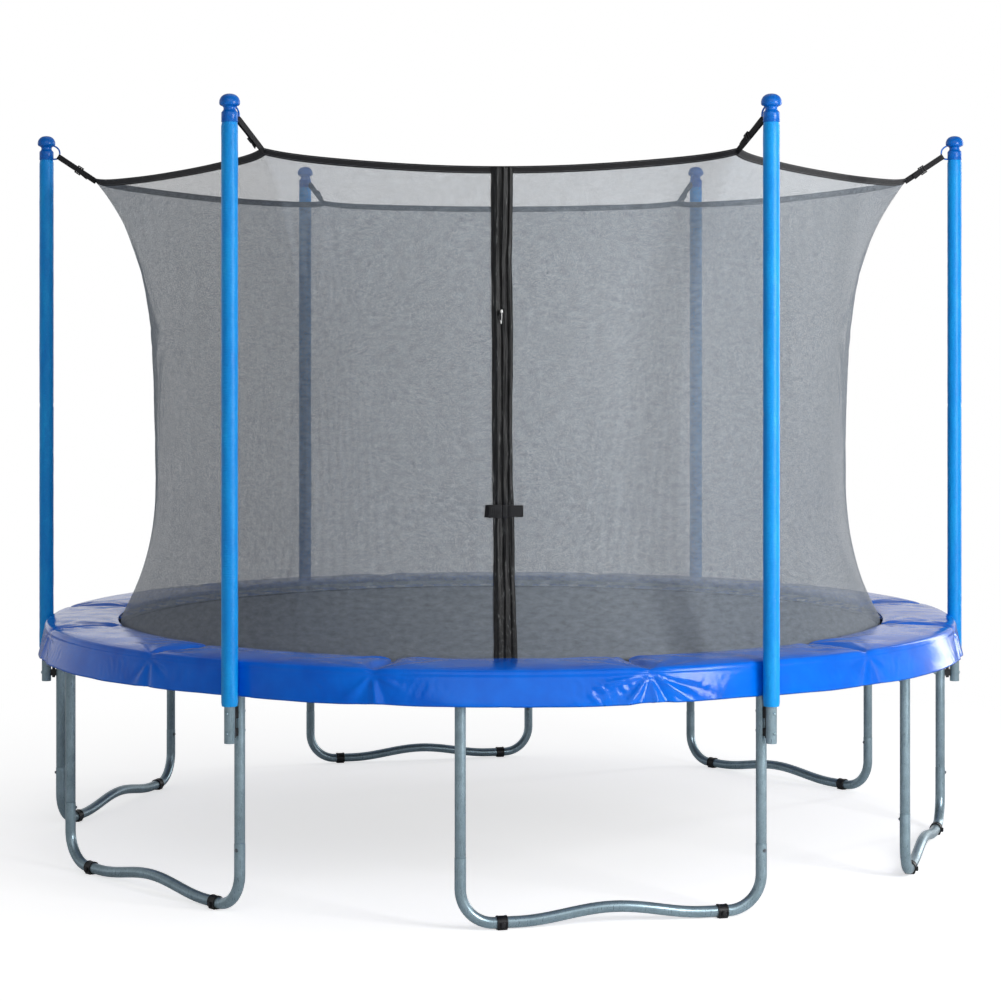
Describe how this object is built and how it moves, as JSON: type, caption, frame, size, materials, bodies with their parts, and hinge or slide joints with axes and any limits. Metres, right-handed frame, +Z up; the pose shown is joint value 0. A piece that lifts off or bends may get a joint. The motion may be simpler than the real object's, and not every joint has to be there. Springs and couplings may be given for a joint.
{
  "type": "backyard trampoline with enclosure",
  "caption": "Round backyard trampoline: sprung mat, padded ring, W-shaped legs and a net enclosure hung from padded poles.",
  "frame": {"origin": "on the ground, under the middle of the mat and on the ring's axis", "axes": "+Z up; +X towards pole 1, on the right when the zip faces the viewer; -Y out through the zip in the front of the net"},
  "size_m": [3.812, 3.763, 2.848],
  "materials": {
    "galvanised_steel": "satin, zinc coated",
    "black_plastic": "moulded, satin",
    "sleeve_cover": "glossy vinyl over foam",
    "cap_plastic": "moulded, satin gloss",
    "pad_cover": "glossy vinyl over foam",
    "net_mesh": "knitted mesh, matt",
    "spring_steel": "zinc plated wire",
    "mat_weave": "woven polypropylene"
  },
  "bodies": {
    "frame": {"ring_rail_1": "galvanised_steel", "ring_rail_2": "galvanised_steel", "ring_rail_3": "galvanised_steel", "ring_rail_4": "galvanised_steel", "ring_rail_5": "galvanised_steel", "ring_rail_6": "galvanised_steel", "leg_base_1": "galvanised_steel", "leg_base_2": "galvanised_steel", "leg_base_3": "galvanised_steel", "leg_base_4": "galvanised_steel", "leg_base_5": "galvanised_steel", "leg_base_6": "galvanised_steel", "leg_upright_01": "galvanised_steel", "leg_upright_02": "galvanised_steel", "leg_upright_03": "galvanised_steel", "leg_upright_04": "galvanised_steel", "leg_upright_05": "galvanised_steel", "leg_upright_06": "galvanised_steel", "leg_upright_07": "galvanised_steel", "leg_upright_08": "galvanised_steel", "leg_upright_09": "galvanised_steel", "leg_upright_10": "galvanised_steel", "leg_upright_11": "galvanised_steel", "leg_upright_12": "galvanised_steel", "foot_01": "black_plastic", "foot_02": "black_plastic", "foot_03": "black_plastic", "foot_04": "black_plastic", "foot_05": "black_plastic", "foot_06": "black_plastic", "foot_07": "black_plastic", "foot_08": "black_plastic", "foot_09": "black_plastic", "foot_10": "black_plastic", "foot_11": "black_plastic", "foot_12": "black_plastic", "pole_1": "galvanised_steel", "pole_2": "galvanised_steel", "pole_3": "galvanised_steel", "pole_4": "galvanised_steel", "pole_5": "galvanised_steel", "pole_6": "galvanised_steel", "foam_sleeve_1": "sleeve_cover", "foam_sleeve_2": "sleeve_cover", "foam_sleeve_3": "sleeve_cover", "foam_sleeve_4": "sleeve_cover", "foam_sleeve_5": "sleeve_cover", "foam_sleeve_6": "sleeve_cover", "pole_cap_1": "cap_plastic", "pole_cap_2": "cap_plastic", "pole_cap_3": "cap_plastic", "pole_cap_4": "cap_plastic", "pole_cap_5": "cap_plastic", "pole_cap_6": "cap_plastic", "safety_pad": "pad_cover", "enclosure_net": "net_mesh", "spring_set": "spring_steel"},
    "mat": {"jumping_mat": "mat_weave"},
    "slider": {"zip_slider": "black_plastic"},
    "clip": {"buckle_clip": "black_plastic"}
  },
  "joints": [
    {"name": "mat_bounce", "type": "slide", "parent": "frame", "child": "mat", "axis": [0, 0, 1], "range_m": [-0.2, 0], "stiffness_N_per_m": 3500, "springref_m": 0.04, "deforming": ["spring_set"]},
    {"name": "zip_slide", "type": "slide", "parent": "frame", "child": "slider", "axis": [0, -0.0479, 0.9989], "range_m": [-0.64, 0.46]},
    {"name": "buckle_release", "type": "slide", "parent": "frame", "child": "clip", "axis": [1, 0, 0], "range_m": [0, 0.04]}
  ]
}
